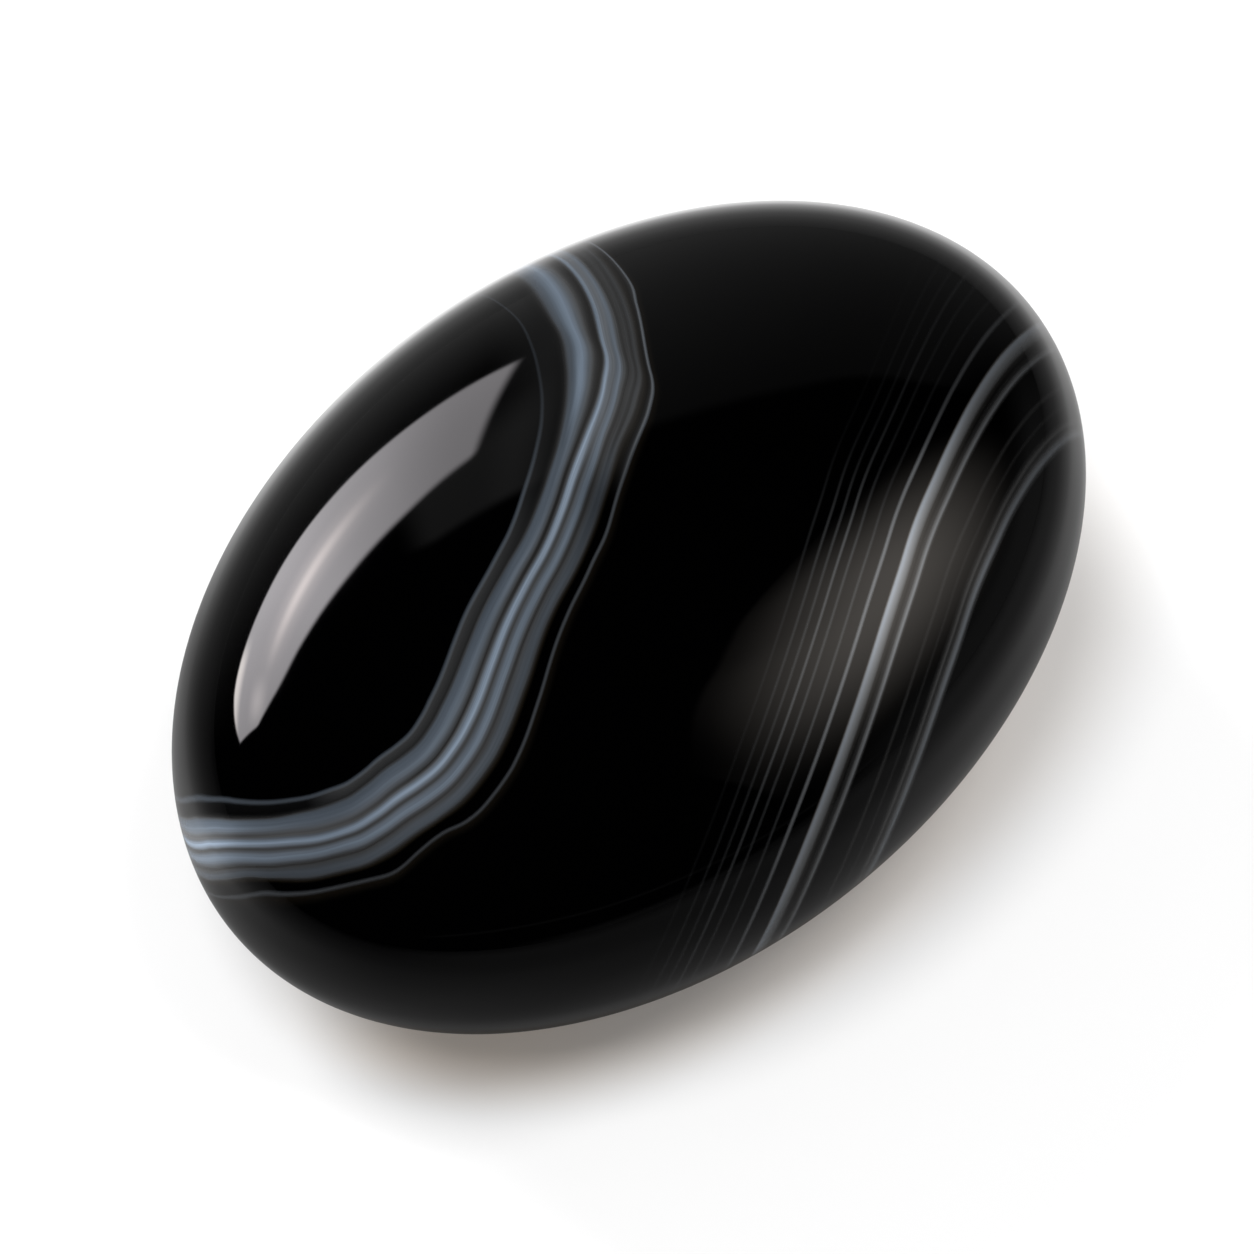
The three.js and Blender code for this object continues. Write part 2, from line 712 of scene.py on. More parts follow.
LOW_AT_MIDDLE: tuple[Stop, ...] = (
    (0, 0), (0.02, 0.02), (0.12, 0.024, 0.06), (0.3, 0.0105, 0.03), (0.5, 0.0065, -0.08),
    (0.8, 0.0095, -0.12), (1, 0.0145, -0.06), (1.1, 0.022), (1.22, 0.033, 0.05), (1.32, 0.03, 0.06),
    (1.44, 0.018), (1.55, 0.022, 0.02), (1.66, 0.031, 0.03), (1.8, 0.026, 0.01), (1.93, 0.021),
    (2.05, 0.023), (2.2, 0.029, 0.02), (2.4, 0.043, 0.05), (2.6, 0.055, 0.08), (2.8, 0.07, 0.16),
    (3, 0.083, 0.22), (3.1, 0.084, 0.22), (3.3, 0.073, 0.17), (3.5, 0.067, 0.1), (3.7, 0.072, 0.12),
    (3.85, 0.086, 0.16), (3.95, 0.112, 0.2), (4, 0.127, 0.23),
)
HIGH_AT_MIDDLE: tuple[Stop, ...] = (
    (4, 0.13, 0.23), (4.1, 0.165, 0.26), (4.2, 0.158, 0.26), (4.3, 0.128, 0.25), (4.4, 0.094, 0.24),
    (4.5, 0.064, 0.18), (4.6, 0.041, 0.1), (4.7, 0.027, 0.05), (4.8, 0.018, 0.02), (4.9, 0.0125),
    (5.03, 0.0095, -0.04), (5.1, 0.0145), (5.2, 0.031, 0.02), (5.3, 0.054, 0.12), (5.4, 0.084, 0.22),
    (5.5, 0.108, 0.28), (5.6, 0.105, 0.28), (5.7, 0.077, 0.27), (5.8, 0.054, 0.24), (5.9, 0.045, 0.2),
    (5.97, 0.027, 0.12), (6.04, 0.0095, 0.02), (6.12, 0.002), (6.25, 0), (7, 0),
)
LOW_RAMPS = (LOW_AT_END, LOW_AT_MIDDLE)
HIGH_RAMPS = (HIGH_AT_END, HIGH_AT_MIDDLE)
HEAVY_LINES: tuple[Stop, ...] = (
    (-1.28, 0), (-1.2, 0.02), (-1.1, 0.15, 0.06), (-1.02, 0.09, 0.03), (-0.92, 0.022),
    (-0.75, 0.006, -0.05), (-0.6, 0.02, -0.05), (-0.48, 0.1, 0.03), (-0.3, 0.19, 0.06),
    (-0.15, 0.28, 0.12), (-0.08, 0.25, 0.1), (-0.03, 0.1, 0.03), (0.02, 0.01, -0.3), (0.06, 0),
)
LOWER_LINES: tuple[Stop, ...] = (
    (-4.32, 0), (-4.2, 0.016, 0.05), (-4.08, 0.07, 0.1), (-3.98, 0.05, 0.07), (-3.86, 0.018),
    (-3.76, 0.008), (-3.65, 0.026), (-3.52, 0.006), (-3.4, 0), (-3.12, 0), (-3.02, 0.005), (-2.92, 0),
    (-2.52, 0), (-2.4, 0.009), (-2.28, 0),
)
FINE_HALF_WIDTH = 0.1
FINE_BLUE = 0.05
FINE_LINES: tuple[Stop, ...] = tuple(
    stop
    for place, level in (
        (1.64, 0.028), (2.36, 0.027), (2.9, 0.046), (3.41, 0.02), (3.93, 0.0155), (4.6, 0.006),
    )
    for stop in (
        (place - FINE_HALF_WIDTH, 0.0), (place, level, FINE_BLUE), (place + FINE_HALF_WIDTH, 0.0),
    )
)
END_STRENGTH: Line = (
    (-30, 2.5), (-27, 2.4), (-26, 2.2), (-25.1, 1.8), (-24.2, 1.12), (-23.3, 0.88), (-22.4, 0.81),
    (-21.4, 0.79), (-20.4, 0.84), (-19.2, 0.94), (-18, 1), (9, 1),
)
GAP_FILL: Line = (
    (-27, 0.09), (-26, 0.07), (-25.1, 0.04), (-24.2, 0.018), (-22.4, 0.022), (-21.4, 0.02),
    (-19.5, 0.012), (-17.5, 0),
)
LOW_HALF_STRENGTH: Line = (
    (-14, 1), (-8, 0.97), (-5, 0.8), (-2.5, 0.56), (0, 1.02), (3, 1.02), (5, 0.82), (9, 0.8),
)
HIGH_HALF_STRENGTH: Line = (
    (-25.5, 0.97), (-24.5, 0.88), (-22.5, 0.86), (-20.5, 0.89), (-18.5, 0.97), (-14, 0.98), (-10, 0.94),
    (-6, 0.83), (-3, 0.93), (0, 1.14), (3, 1.12), (4.5, 0.86), (6, 0.67), (9, 0.72),
)
LOW_THREAD_STRENGTH: Line = (
    (-28, 0.045), (-25, 0.026), (-23, 0.018), (-20, 0.014), (-16, 0.018), (-12, 0.022), (-8, 0.022),
    (-4, 0.026), (0, 0.026), (2, 0.042), (9, 0.052),
)
HIGH_THREAD_STRENGTH: Line = (
    (-28, 0.05), (-25, 0.03), (-23, 0.024), (-20, 0.027), (-12, 0.029), (-8, 0.031), (-5, 0.032),
    (-3, 0.024), (0, 0.013), (3, 0.009), (6, 0.016), (9, 0.02),
)
HAZE_STRENGTH: Line = (
    (-22, 0.002), (-20.3, 0.022), (-9, 0.021), (-6, 0.013), (-4, 0.007), (-2, 0.004), (1, 0.0022),
    (4, 0.002), (6, 0.0035), (10, 0.0035),
)
# How strong the brightest fine lines are along the stone. This is partly their own tone and partly painted
# light from the soft light at the right, which brightens them most from 2 to 8 mm along.
HEAVY_TONE_AND_GLOW_LIGHT: Line = (
    (-14, 0.2), (-8, 0.25), (-5, 0.3), (-3, 0.38), (-1, 0.51), (2, 0.86), (5, 0.95), (8, 0.72),
    (11, 0.48), (14, 0.29), (17, 0.24), (24, 0.22),
)
LOWER_STRENGTH: Line = ((-12, 0.5), (-1, 0.75), (5, 0.95), (8, 1.1), (11, 0.8), (14, 0.65), (24, 0.6))
FINE_STRENGTH: Line = (
    (-18, 0.16), (-10, 0.2), (-8, 0.28), (-6, 0.48), (-4, 0.82), (-1, 1), (3, 1), (5, 0.62), (7, 0.26),
    (9, 0.14), (12, 0.09), (24, 0.06),
)
FIRST_STRENGTH: Line = (
    (-14, 0.17), (-11, 0.2), (-8, 0.28), (-5, 0.42), (-3, 0.6), (-1, 0.76), (1, 0.94), (3, 0.98),
    (5, 0.94), (7, 0.7), (9, 0.6), (11, 0.27), (14, 0.14), (24, 0.12),
)


@dataclass
class PolishedOnyx:
    """Black onyx with pale layers, polished to a mirror.

    Attributes:
        middle: height of the stone's middle plane above the table.
        lean: angle by which the layers lean from upright about the long axis, in degrees.
        body: colour of the black stone.
        left: the broad band.
        right: the fine bands.
    """

    middle: float
    lean: float = 17.0
    body: Colour = (0.0001, 0.0001, 0.00014)
    left: LeftBand = LeftBand()
    right: RightBand = RightBand()

    REFRACTION = 1.54
    # Along the broad band: where its halves pass from the colours at the thick end to those at the middle.
    LOW_CHANGE = (-2.6, 1.6)
    HIGH_CHANGE_NEAR_CENTRE = (-13.0, -6.0)
    HIGH_CHANGE_OUTSIDE = (-1.2, 2.8)
    # Across it, in layers: where its inner part ends in the low half and in the high half.
    INNER_LOW = (2.7, 3.6)
    INNER_HIGH = (4.9, 5.2)
    GAP_PLACE = 4.95
    GAP_REACH = 0.4
    GAP_COLOUR = grey(1.0, 0.05)
    LOW_THREAD_HALF_WIDTH = 0.13
    LOW_THREAD_COLOUR = grey(1.0, 0.16)
    HIGH_THREAD_HALF_WIDTH = 0.155
    HIGH_THREAD_COLOUR = grey(1.0, 0.22)
    # The brown edge of the low thread, above and below it in mm.
    HALO_BELOW = (-0.5, -0.05)
    HALO_ABOVE = (0.12, 0.0)
    HALO_COLOUR = grey(0.002, -0.35)
    # The haze between the band and the high thread: where it begins and grows, in layers, and ends, in mm.
    HAZE_START = (6.0, 6.25)
    HAZE_GROWTH = (6.2, 7.0)
    HAZE_LEAST = 0.5
    HAZE_END = (0.05, -0.1)
    HAZE_COLOUR = grey(1.0, 0.03)
    # Streaks along the layers: steps of noise per mm along and per layer across, and their strength.
    GRAIN_ALONG = 0.16
    GRAIN_ACROSS = 5.0
    GRAIN_DETAIL = 3.0
    GRAIN_GAIN = 0.7
    GRAIN_FLOOR = 0.65
    POLISH_SCALE = 0.35
    POLISH_DETAIL = 4.0
    POLISH_CHANGE = 0.03
    POLISH_FLOOR = 0.02

    def make(self) -> bpy.types.Material:
        """Builds the stone's material.

        Returns:
            The finished material.
        """
        material, maker = new_material("polished_onyx")
        place = self._stone_place(maker)
        shader = maker.add("ShaderNodeBsdfPrincipled")
        shader.inputs["IOR"].default_value = self.REFRACTION
        band = self._band_place(maker, place)
        colour = maker.total(
            self.body,
            self._band_colour(maker, band),
            self._threads(maker, band),
            self._right_colour(maker, place),
        )
        maker.join(colour, shader.inputs["Base Color"])
        maker.join(self._roughness(maker, place), shader.inputs["Roughness"])
        maker.show(shader.outputs["BSDF"])
        return material

    def _stone_place(self, maker: NodeMaker) -> StonePlace:
        """Finds each point's place in the leaning layers.

        Args:
            maker: the material's node maker.

        Returns:
            The place.
        """
        lean = math.radians(self.lean)
        coordinate = maker.add("ShaderNodeTexCoord")
        mapping = maker.add("ShaderNodeMapping")
        mapping.inputs["Scale"].default_value = (1 / MM, 1 / MM, 1 / MM)
        mapping.inputs["Rotation"].default_value = (-lean, 0.0, 0.0)
        mapping.inputs["Location"].default_value = (0.0, -self.middle / MM * math.sin(lean), 0.0)
        maker.join(coordinate.outputs["Object"], mapping.inputs["Vector"])
        along, across, _ = maker.parts(mapping.outputs["Vector"])
        height = maker.math("DIVIDE", maker.parts(coordinate.outputs["Object"])[2], MM)
        return StonePlace(along, across, height, mapping.outputs["Vector"])

    def _turned(self, maker: NodeMaker, place: StonePlace) -> tuple[Socket, Socket]:
        """Turns the broad band's layers upwards at the thick end.

        Args:
            maker: the material's node maker.
            place: the place in the stone.

        Returns:
            The place along the turned layers and the place across them, in mm.
        """
        start, level = self.left.pivot
        beyond = maker.difference(start, place.along)
        below = maker.difference(level, place.across)
        turning = maker.math("GREATER_THAN", beyond, 0.0)
        angle = maker.math("ARCTAN2", beyond, below)
        squares = maker.math("ADD", maker.product(beyond, beyond), maker.product(below, below))
        radius = maker.math("SQRT", squares)
        bent = maker.pick(turning, place.along, maker.multiply_add(angle, -self.left.turn_radius, start))
        dip = maker.product(
            maker.curve(place.height, self.left.rim_dip), maker.smooth(place.along, *self.left.dip_range)
        )
        across = maker.pick(turning, place.across, maker.difference(level, radius))
        return bent, maker.difference(across, dip)

    def _band_place(self, maker: NodeMaker, place: StonePlace) -> BandPlace:
        """Finds the place in the broad band.

        Args:
            maker: the material's node maker.
            place: the place in the stone.

        Returns:
            The place in the band.
        """
        bent, across = self._turned(maker, place)
        offset = maker.difference(across, maker.curve(bent, self.left.centre))
        lines = [
            0.0 if layer is Layer.CENTRE else maker.curve(bent, self.left.line(layer)) for layer in Layer
        ]
        layer = maker.fraction(offset, lines[0], lines[1])
        for low, high in zip(lines[1:], lines[2:]):
            layer = maker.math("ADD", layer, maker.fraction(offset, low, high))
        to_low, to_high = (maker.difference(offset, line) for line in (lines[0], lines[-1]))
        return BandPlace(bent, layer, to_low, to_high)

    def _band_colour(self, maker: NodeMaker, band: BandPlace) -> Socket:
        """Colours the broad band.

        Args:
            maker: the material's node maker.
            band: the place in the band.

        Returns:
            The colour that the band adds.
        """
        bent, layer = band.bent, band.layer
        inner = maker.smooth(layer, *self.INNER_LOW)
        outer = maker.smooth(layer, *self.INNER_HIGH)
        low_half = maker.blend(
            maker.smooth(bent, *self.LOW_CHANGE),
            *(maker.ramp(layer, Layer.LOW_THREAD, Layer.CENTRE, stops) for stops in LOW_RAMPS),
        )
        high_change = maker.pick(
            outer,
            maker.smooth(bent, *self.HIGH_CHANGE_NEAR_CENTRE),
            maker.smooth(bent, *self.HIGH_CHANGE_OUTSIDE),
        )
        high_half = maker.blend(
            high_change,
            *(maker.ramp(layer, Layer.CENTRE, Layer.HIGH_THREAD, stops) for stops in HIGH_RAMPS),
        )
        halves = maker.blend(
            maker.math("GREATER_THAN", layer, Layer.CENTRE),
            maker.tint(low_half, maker.pick(inner, maker.curve(bent, LOW_HALF_STRENGTH), 1.0)),
            maker.tint(high_half, maker.pick(outer, maker.curve(bent, HIGH_HALF_STRENGTH), 1.0)),
        )
        gap = maker.product(maker.bump(layer, self.GAP_PLACE, self.GAP_REACH), maker.curve(bent, GAP_FILL))
        return maker.total(
            maker.tint(halves, maker.product(self._grain(maker, band), maker.curve(bent, END_STRENGTH))),
            maker.tint(self.GAP_COLOUR, gap),
        )

    def _threads(self, maker: NodeMaker, band: BandPlace) -> Socket:
        """Colours the thin lines on either side of the broad band, with their brown edge and grey haze.

        Args:
            maker: the material's node maker.
            band: the place in the band.

        Returns:
            The colour that they add.
        """
        low_thread = maker.product(
            maker.line(band.to_low, self.LOW_THREAD_HALF_WIDTH), maker.curve(band.bent, LOW_THREAD_STRENGTH)
        )
        halo = maker.product(
            maker.smooth(band.to_low, *self.HALO_BELOW), maker.smooth(band.to_low, *self.HALO_ABOVE)
        )
        high_thread = maker.product(
            maker.line(band.to_high, self.HIGH_THREAD_HALF_WIDTH),
            maker.curve(band.bent, HIGH_THREAD_STRENGTH),
        )
        haze = maker.product(
            maker.smooth(band.layer, *self.HAZE_START),
            maker.pick(maker.fraction(band.layer, *self.HAZE_GROWTH), self.HAZE_LEAST, 1.0),
            maker.smooth(band.to_high, *self.HAZE_END),
            maker.curve(band.bent, HAZE_STRENGTH),
        )
        return maker.total(
            maker.tint(self.LOW_THREAD_COLOUR, low_thread),
            maker.tint(self.HALO_COLOUR, halo),
            maker.tint(self.HIGH_THREAD_COLOUR, high_thread),
            maker.tint(self.HAZE_COLOUR, haze),
        )

    def _grain(self, maker: NodeMaker, band: BandPlace) -> Socket:
        """Streaks the broad band lightly along its layers.

        Args:
            maker: the material's node maker.
            band: the place in the band.

        Returns:
            The factor that the band's colour is multiplied by.
        """
        place = maker.add("ShaderNodeCombineXYZ")
        maker.join(maker.product(band.bent, self.GRAIN_ALONG), place.inputs["X"])
        maker.join(maker.product(band.layer, self.GRAIN_ACROSS), place.inputs["Y"])
        noise = maker.add("ShaderNodeTexNoise", noise_dimensions="2D")
        noise.inputs["Scale"].default_value = 1.0
        noise.inputs["Detail"].default_value = self.GRAIN_DETAIL
        maker.join(place.outputs["Vector"], noise.inputs["Vector"])
        return maker.multiply_add(noise.outputs["Fac"], self.GRAIN_GAIN, self.GRAIN_FLOOR)

    def _right_colour(self, maker: NodeMaker, place: StonePlace) -> Socket:
        """Colours the fine parallel lines at the thin end.

        Args:
            maker: the material's node maker.
            place: the place in the stone.

        Returns:
            The colour that the lines add.
        """
        band, along = self.right, place.along
        above_edge = maker.difference(place.across, maker.curve(along, band.edge))
        step = maker.math("DIVIDE", above_edge, maker.curve(along, band.spread))
        heavy = maker.ramp(step, *band.heavy_range, HEAVY_LINES)
        lower = maker.ramp(step, *band.lower_range, LOWER_LINES)
        fine = maker.ramp(step, *band.fine_range, FINE_LINES)
        first = maker.line(maker.difference(step, band.first_line), band.first_half_width)
        # The brightest lines' strength along the stone also holds painted light from the soft light at the
        # right.
        return maker.total(
            maker.tint(heavy, maker.curve(along, HEAVY_TONE_AND_GLOW_LIGHT)),
            maker.tint(lower, maker.curve(along, LOWER_STRENGTH)),
            maker.tint(fine, maker.curve(along, FINE_STRENGTH)),
            maker.tint(band.first_level, maker.product(first, maker.curve(along, FIRST_STRENGTH))),
        )

    def _roughness(self, maker: NodeMaker, place: StonePlace) -> Socket:
        """Varies the polish a little.

        Args:
            maker: the material's node maker.
            place: the place in the stone.

        Returns:
            The roughness.
        """
        noise = maker.add("ShaderNodeTexNoise")
        noise.inputs["Scale"].default_value = self.POLISH_SCALE
        noise.inputs["Detail"].default_value = self.POLISH_DETAIL
        maker.join(place.whole, noise.inputs["Vector"])
        return maker.multiply_add(noise.outputs["Fac"], self.POLISH_CHANGE, self.POLISH_FLOOR)


@dataclass(frozen=True)
class Table:
    """The pale table top.

    Bearings are turns round the stone in degrees, as toward takes them. A radius is a place's distance from
    the stone's middle as a multiple of the stone's own half length or half width there.

    Attributes:
        half_plan: the stone's half length and half width, in metres.
        painted_bounce_colour: painted warm bounce light, the colour that the table is warmed towards close
            under the stone, where its shadow falls.
        painted_bounce_round: how strong that painted light is, against the bearing.
        painted_bounce_reach: the radius where it ends, against the bearing.
        painted_bounce_full: the radius within which it is full.
        mirrored_near: how bright the polish mirrors the near side of the table, against the radius.
        mirrored_far: the same for the far side.
        mirrored_round: how far the table counts as far side, against the bearing.
        mirrored_strip: what the outer table adds to that brightness, against the bearing.
        strip_range: the radii between which that sets in.
    """

    half_plan: Point
    size: float = 4.0
    colour: Colour = (0.797, 0.795, 0.796)
    # Painted warm bounce light in the stone's shadow close under it.
    painted_bounce_colour: Colour = (0.875, 0.791, 0.715)
    painted_bounce_round: Line = (
        (-180, 0), (-145, 0.05), (-138, 0.15), (-130, 0.38), (-120, 0.92), (-110, 1), (-100, 0.82),
        (-90, 0.62), (-60, 0.57), (-20, 0.58), (0, 0.5), (20, 0.42), (40, 0.25), (65, 0),
    )
    painted_bounce_reach: Line = (
        (-130, 0.96), (-120, 0.97), (-110, 0.99), (-90, 1.02), (-60, 1.04), (-40, 1.08), (-20, 1.12),
        (0, 1.22), (30, 1.3),
    )
    painted_bounce_full: float = 0.82
    mirrored_near: Line = (
        (0, 0.3), (0.9, 0.22), (1.07, 0.15), (1.4, 0.135), (1.6, 0.118), (1.85, 0.102), (2.2, 0.088),
        (2.7, 0.068), (3.5, 0.055), (5, 0.04), (8, 0.03), (12, 0.02), (20, 0.01), (40, 0.003),
    )
    mirrored_far: Line = (
        (0, 0.9), (1.4, 1), (1.7, 1.3), (1.85, 1.33), (2.2, 0.93), (2.7, 0.61), (3.5, 0.35), (5, 0.235),
        (8, 0.17), (15, 0.14), (40, 0.125),
    )
    mirrored_round: Line = (
        (-180, 0.17), (-165, 0.25), (-145, 0.1), (-125, 0.02), (-110, 0), (-60, 0), (-40, 0.04),
        (-15, 0.12), (0, 0.14), (15, 0.2), (30, 0.28), (45, 0.42), (60, 0.58), (75, 0.7), (90, 0.84),
        (105, 1), (118, 0.96), (125, 0.8), (135, 0.57), (150, 0.28), (165, 0.12), (180, 0.17),
    )
    mirrored_strip: Line = (
        (-115, 0), (-90, 0.03), (-50, 0.033), (-20, 0.04), (0, 0.05), (14, 0.05), (28, 0.02), (42, 0),
    )
    strip_range: Range = (1.6, 7.0)

    def lay(self) -> bpy.types.Object:
        """Adds the table top.

        Returns:
            The table's object.
        """
        deselect_all()
        bpy.ops.mesh.primitive_plane_add(size=self.size, location=(0.0, 0.0, 0.0))
        table = bpy.context.object
        table.name = table.data.name = "table"
        table.data.materials.append(self._finish())
        return table

    def _finish(self) -> bpy.types.Material:
        """Builds the matt white of the table, which the polished stone mirrors brightly only close by.

        Returns:
            The table's material.
        """
        material, maker = new_material("table")
        coordinate = maker.add("ShaderNodeTexCoord").outputs["Object"]
        scaled = maker.add("ShaderNodeMapping")
        scaled.inputs["Scale"].default_value = (1 / self.half_plan[0], 1 / self.half_plan[1], 0.0)
        maker.join(coordinate, scaled.inputs["Vector"])
        length = maker.add("ShaderNodeVectorMath", operation="LENGTH")
        maker.join(scaled.outputs["Vector"], length.inputs[0])
        radius = length.outputs["Value"]
        bearing, _ = maker.bearing(coordinate)
        # Painted warm bounce light: close under the stone, where its shadow falls, the table's colour is
        # warmed.
        painted_bounce = maker.product(
            maker.smooth(radius, maker.curve(bearing, self.painted_bounce_reach), self.painted_bounce_full),
            maker.curve(bearing, self.painted_bounce_round),
        )
        mirrored = maker.add("ShaderNodeLightPath").outputs["Is Glossy Ray"]
        level = maker.pick(mirrored, 1.0, self._mirrored_level(maker, bearing, radius))
        plain, painted_bounce_rgba = (*self.colour, 1.0), (*self.painted_bounce_colour, 1.0)
        shader = maker.add("ShaderNodeBsdfDiffuse")
        maker.join(maker.tint(maker.blend(painted_bounce, plain, painted_bounce_rgba), level), shader.inputs["Color"])
        maker.show(shader.outputs["BSDF"])
        return material

    def _mirrored_level(self, maker: NodeMaker, bearing: Socket, radius: Socket) -> Socket:
        """Tells how bright the table looks in the polish.

        Args:
            maker: the material's node maker.
            bearing: the place's bearing.
            radius: the place's radius.

        Returns:
            The brightness, as a share of the table's own.
        """
        sides = maker.pick(
            maker.curve(bearing, self.mirrored_round),
            maker.curve(radius, self.mirrored_near),
            maker.curve(radius, self.mirrored_far),
        )
        strip = maker.curve(bearing, self.mirrored_strip)
        return maker.multiply_add(strip, maker.smooth(radius, *self.strip_range), sides)


@dataclass(frozen=True)
class Spot:
    """A brighter soft spot in the window.

    Attributes:
        bearing: where its middle is, and how far it reaches to either side, in degrees.
        height: the same for its height.
        colour: the colour that it adds in its middle.
    """

    bearing: Point
    height: Point
    colour: Colour

    def paint(self, maker: NodeMaker, bearing: Socket, height: Socket) -> Socket:
        """Paints the spot.

        Args:
            maker: the surround's node maker.
            bearing: the bearing that is looked at.
            height: its height above the table.

        Returns:
            The spot's colour.
        """
        level = maker.product(maker.bump(bearing, *self.bearing), maker.bump(height, *self.height))
        return maker.tint(self.colour, level)


@dataclass(frozen=True)
class Window:
    """The bright soft box at the back left, which the polish mirrors; all angles are in degrees.

    Attributes:
        top: the height of its upper edge, against the bearing.
        bottom: the height of its lower edge, against the bearing.
        level: how bright it is, against the bearing.
        top_edge: where it fades in below its upper edge.
        bottom_edge: where it fades in above its lower edge.
        sides: its right and left side.
        spots: a bright streak, the streak's core and a round spot.
        sill_start: the bearings between which its bright lower left corner sets in.
        sill_edge: the heights between which that corner sets in.
    """

    top: Line = (
        (100, 36.5), (110, 37), (118, 37.6), (126, 37.5), (134, 36.7), (142, 35.3), (150, 33),
        (154, 30.6), (158, 27.4), (166, 20),
    )
    bottom: Line = (
        (100, 24), (106, 21.6), (114, 18.9), (122, 16.2), (130, 14.1), (138, 13), (146, 11.9),
        (150, 11.7), (154, 12.5), (158, 14.1), (162, 16.5), (166, 19),
    )
    level: Line = (
        (100, 2.3), (106, 2.45), (110, 2.6), (114, 3.1), (118, 3.85), (122, 4.4), (130, 5.5), (134, 5.7),
        (142, 5.35), (150, 5), (158, 4.6), (164, 4.3),
    )
    top_edge: Range = (0.5, -1.2)
    bottom_edge: Range = (-0.4, 0.8)
    sides: tuple[Side, ...] = ((-0.25, 97.2, 98.8), (0.288, 167.4, 166.4))
    colour: Colour = (1.02, 0.98, 1.02)
    spots: tuple[Spot, ...] = (
        Spot((133.0, 17.5), (26.4, 6.0), (2.3, 2.0, 1.87)),
        Spot((133.0, 17.5), (26.4, 2.6), (3.22, 2.8, 2.618)),
        Spot((154.0, 7.0), (24.5, 5.0), (2.3, 2.1, 2.0)),
    )
    sill_start: Range = (141.0, 147.0)
    sill_edge: Range = (16.6, 13.2)
    sill_colour: Colour = (5.3, 4.8, 4.4)

    def paint(self, maker: NodeMaker, bearing: Socket, height: Socket) -> Socket:
        """Paints the soft box.

        Args:
            maker: the surround's node maker.
            bearing: the bearing that is looked at.
            height: its height above the table.

        Returns:
            The soft box's colour.
        """
        mask = maker.product(
            maker.smooth(maker.difference(height, maker.curve(bearing, self.bottom)), *self.bottom_edge),
            maker.smooth(maker.difference(height, maker.curve(bearing, self.top)), *self.top_edge),
            maker.sides(bearing, height, self.sides),
        )
        sill = maker.product(maker.smooth(bearing, *self.sill_start), maker.smooth(height, *self.sill_edge))
        light = maker.total(
            maker.tint(self.colour, maker.curve(bearing, self.level)),
            *(spot.paint(maker, bearing, height) for spot in self.spots),
            maker.tint(self.sill_colour, sill),
        )
        return maker.tint(light, mask)


@dataclass(frozen=True)
class Glow:
    """The warm soft light at the right, which the polish mirrors; all angles are in degrees.

    Attributes:
        top: the height of its upper edge, against the bearing.
        top_fade: how far below that edge it has its full brightness.
        crisp_fade: how far below it the first faint step lies.
        crisp_share: how bright that step is.
        foot: the heights between which it sets in.
        near_fade: the bearings between which it sets in.
        near_crisp: the bearings of the first faint step at that side.
        near_crisp_share: how bright that step is.
        far_sides: the slanting fade at the other side and the upright end past it.
    """

    top: Line = (
        (-40, 45), (-30, 54), (-20, 60.5), (-10, 64.5), (0, 66.5), (10, 67), (20, 66), (30, 64.5),
        (38, 62), (44, 56.5), (47, 51), (50, 44),
    )
    top_fade: Range = (0.0, 24.0)
    crisp_fade: Range = (0.0, 1.6)
    crisp_share: float = 0.05
    foot: Range = (10.0, 45.0)
    near_fade: Range = (-28.5, 19.5)
    near_crisp: Range = (-29.0, -27.5)
    near_crisp_share: float = 0.04
    far_sides: tuple[Side, ...] = ((-0.45, 32.3, 3.3), (0.0, 50.0, 47.0))
    colour: Colour = (1.22, 1.13, 1.04)

    def paint(self, maker: NodeMaker, bearing: Socket, height: Socket) -> Socket:
        """Paints the soft light.

        Args:
            maker: the surround's node maker.
            bearing: the bearing that is looked at.
            height: its height above the table.

        Returns:
            The soft light's colour.
        """
        below = maker.difference(maker.curve(bearing, self.top), height)
        mask = maker.product(
            maker.multiply_add(
                maker.smooth(below, *self.crisp_fade), self.crisp_share, maker.smooth(below, *self.top_fade)
            ),
            maker.smooth(height, *self.foot),
            maker.multiply_add(
                maker.smooth(bearing, *self.near_crisp),
                self.near_crisp_share,
                maker.smooth(bearing, *self.near_fade),
            ),
            maker.sides(bearing, height, self.far_sides),
        )
        return maker.tint(self.colour, mask)


@dataclass(frozen=True)
class DimPatch:
    """A faint patch of light on the dark walls, in degrees.

    Attributes:
        level: its brightness.
        sides: its two upright sides.
        rise: the heights between which it sets in.
        fade: how it does so over the height.
        under_top: whether it ends at the back wall's upper edge.
    """

    level: float
    sides: tuple[Side, ...]
    rise: Range
    fade: Fade = Fade.SOFT
    under_top: bool = False


